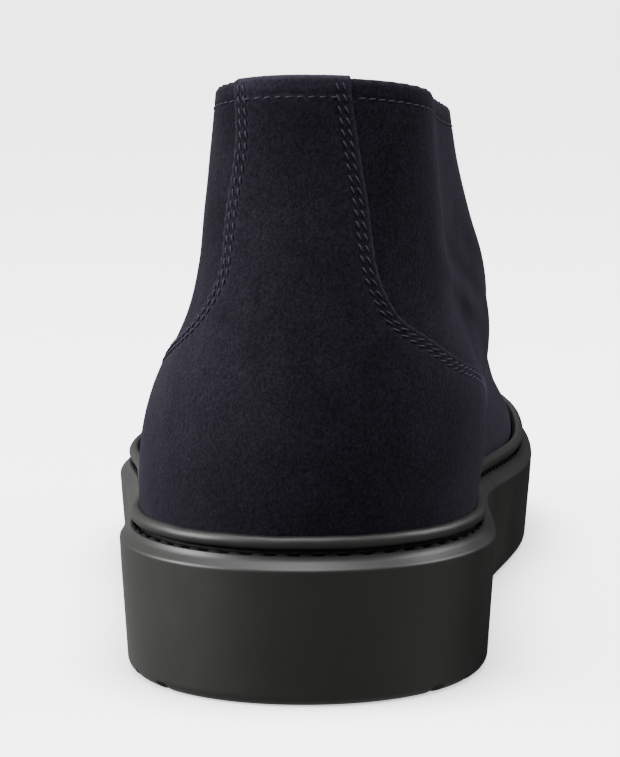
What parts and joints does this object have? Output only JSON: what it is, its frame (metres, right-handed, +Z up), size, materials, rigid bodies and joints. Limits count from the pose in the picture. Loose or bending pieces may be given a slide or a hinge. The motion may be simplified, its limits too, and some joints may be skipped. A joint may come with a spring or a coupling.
{
  "type": "chukka boot",
  "caption": "Ankle-high suede chukka boot for the left foot, with a stitched back panel, on a thick rubber cup sole with a rolled welt.",
  "frame": {"origin": "on the floor, under the middle of the sole's footprint", "axes": "+Y points to the toe, +X to the inner (medial) side of the left foot, +Z up"},
  "size_m": [0.112, 0.304, 0.1356],
  "materials": {
    "suede": "brushed dark navy suede",
    "rubber": "charcoal rubber, half gloss",
    "insole_leather": "smooth dark leather",
    "lining": "smooth dark leather lining",
    "thread": "waxed navy thread",
    "lace": "flat woven cotton"
  },
  "bodies": {
    "root": {"outsole": "rubber", "welt": "rubber", "insole": "insole_leather", "upper": "suede", "back_panel": "suede", "tongue": "suede", "lace_bar_1": "lace", "lace_bar_2": "lace", "lace_bar_3": "lace"}
  },
  "joints": []
}
